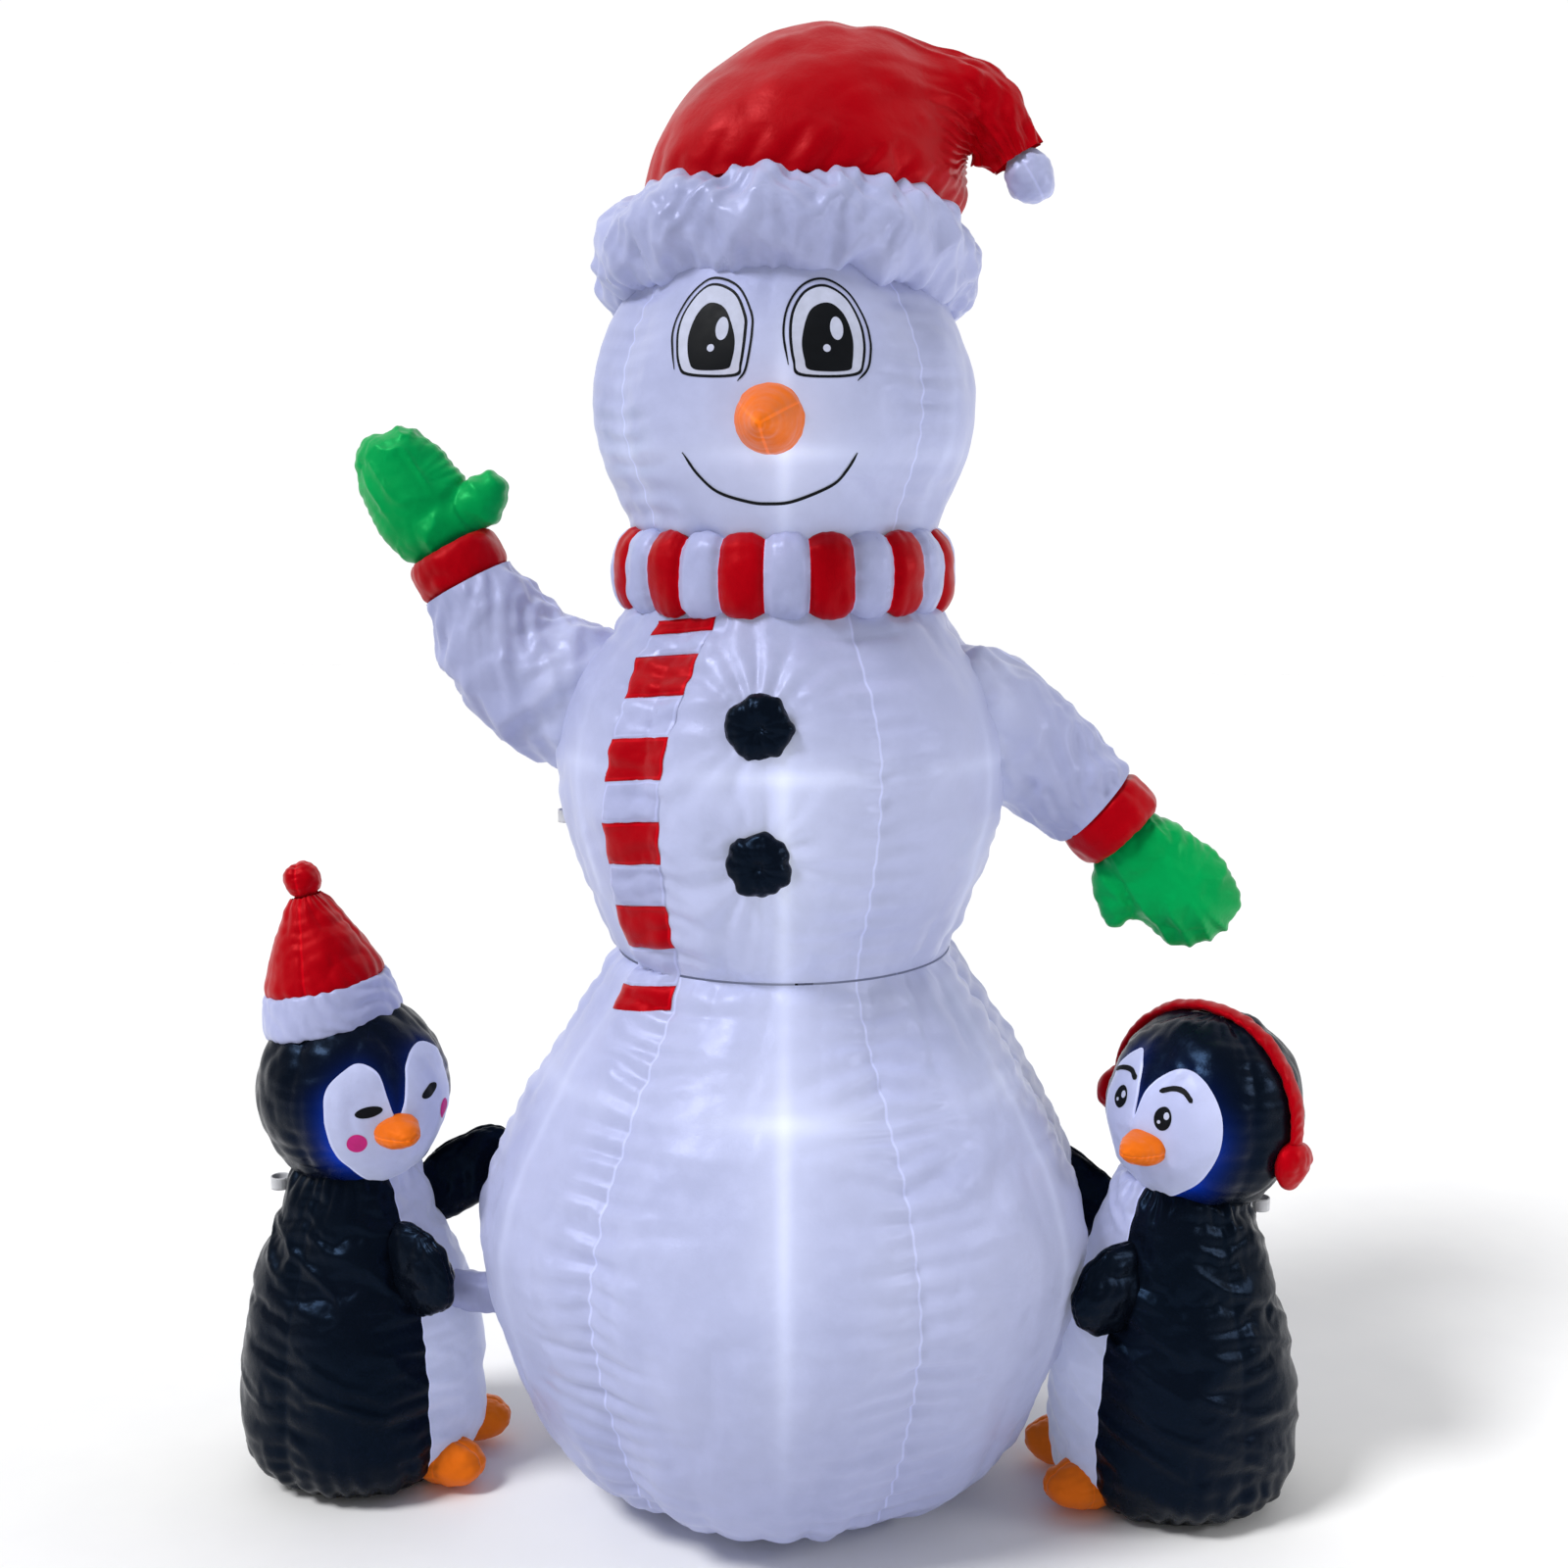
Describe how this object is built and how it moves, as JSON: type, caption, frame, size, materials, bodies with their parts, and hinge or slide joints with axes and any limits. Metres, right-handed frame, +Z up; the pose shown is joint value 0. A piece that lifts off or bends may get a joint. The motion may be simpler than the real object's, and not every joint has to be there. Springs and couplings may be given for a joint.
{
  "type": "inflatable yard snowman",
  "caption": "Blower-inflated fabric snowman with stocking hat, striped scarf, waving arms and mittens, flanked by small penguins, lit from inside.",
  "frame": {"origin": "centre of the snowman's flat base, on the ground", "axes": "+Z up, the snowman faces -Y, its left arm is on +X"},
  "size_m": [1.8122, 1.023, 2.4142],
  "materials": {
    "white_fabric": "satin",
    "red_fabric": "satin",
    "pompom_fabric": "satin",
    "green_fabric": "satin",
    "black_fabric": "satin",
    "orange_fabric": "satin",
    "ballast_cloth": "matte",
    "blower_plastic": "matte",
    "fan_plastic": "satin",
    "motor_steel": "satin",
    "jack_plastic": "gloss",
    "drawstring_cord": "matte",
    "zip_tape": "matte",
    "zip_plastic": "gloss",
    "lamp_plastic": "matte",
    "lamp_lens": "gloss",
    "harness_wire": "matte"
  },
  "bodies": {
    "snowman": {"ballast_bag": "ballast_cloth", "base_panel": "white_fabric", "blower_case": "blower_plastic", "blower_collar": "white_fabric", "blower_motor": "motor_steel", "carrot_nose": "orange_fabric", "coal_buttons": "black_fabric", "collar_drawstring": "drawstring_cord", "hat_brim": "white_fabric", "hat_crown": "red_fabric", "head_back_panels": "white_fabric", "head_front_panel": "white_fabric", "intake_grille": "blower_plastic", "lamp_bases": "lamp_plastic", "lamp_harness": "harness_wire", "lamp_lenses": "lamp_lens", "left_penguin_hat": "red_fabric", "left_penguin_hat_band": "white_fabric", "left_penguin_pompom": "red_fabric", "lower_back_gore": "white_fabric", "lower_front_gore": "white_fabric", "lower_side_gores": "white_fabric", "motor_bracket": "blower_plastic", "penguin_air_sleeve": "white_fabric", "penguin_base_panels": "black_fabric", "penguin_beaks": "orange_fabric", "penguin_bellies": "white_fabric", "penguin_bodies": "black_fabric", "penguin_faces": "white_fabric", "penguin_feet": "orange_fabric", "penguin_flippers": "black_fabric", "penguin_heads": "black_fabric", "power_jack": "jack_plastic", "right_penguin_muff_band": "red_fabric", "right_penguin_muff_pads": "red_fabric", "scarf_collar_red": "red_fabric", "scarf_collar_white": "white_fabric", "scarf_tail_red": "red_fabric", "scarf_tail_white": "white_fabric", "sleeve_roots": "white_fabric", "string_stopper": "blower_plastic", "tether_loops": "white_fabric", "torso_front_gore": "white_fabric", "torso_side_gores": "white_fabric", "zip_tapes": "zip_tape", "zip_teeth": "zip_plastic"},
    "right_arm": {"right_sleeve": "white_fabric", "right_cuff": "red_fabric", "right_mitten": "green_fabric"},
    "left_arm": {"left_sleeve": "white_fabric", "left_cuff": "red_fabric", "left_mitten": "green_fabric"},
    "hat_tip": {"hat_tail": "red_fabric", "hat_pompom": "pompom_fabric"},
    "fan": {"fan_impeller": "fan_plastic", "fan_shaft": "motor_steel"},
    "slider": {"zip_slider": "zip_plastic"},
    "pull": {"zip_pull": "zip_plastic"},
    "plunger": {"stopper_plunger": "blower_plastic"}
  },
  "joints": [
    {"name": "right_arm_sway", "type": "hinge", "parent": "snowman", "child": "right_arm", "pos_m": [-0.318, 0, 1.338], "axis": [0, 1, 0], "range_deg": [-8, 8], "stiffness_Nm_per_rad": 40},
    {"name": "left_arm_sway", "type": "hinge", "parent": "snowman", "child": "left_arm", "pos_m": [0.305, 0, 1.32], "axis": [0, 1, 0], "range_deg": [-8, 8], "stiffness_Nm_per_rad": 40},
    {"name": "hat_tip_sway", "type": "hinge", "parent": "snowman", "child": "hat_tip", "pos_m": [0.287, 0.058, 2.298], "axis": [0, 1, 0], "range_deg": [-5, 5], "stiffness_Nm_per_rad": 8},
    {"name": "fan_spin", "type": "hinge", "parent": "snowman", "child": "fan", "pos_m": [0, 0.4566, 0.1959], "axis": [0, 0.9397, -0.342], "continuous": true},
    {"name": "zip_slide", "type": "slide", "parent": "snowman", "child": "slider", "axis": [0, -0.5092, 0.8606], "range_m": [0, 0.22]},
    {"name": "pull_swing", "type": "hinge", "parent": "slider", "child": "pull", "pos_m": [0, 0.47539, 0.63967], "axis": [1, 0, 0], "range_deg": [0, 150]},
    {"name": "stopper_press", "type": "slide", "parent": "snowman", "child": "plunger", "axis": [-1, 0, 0], "range_m": [0, 0.005], "stiffness_N_per_m": 600}
  ]
}
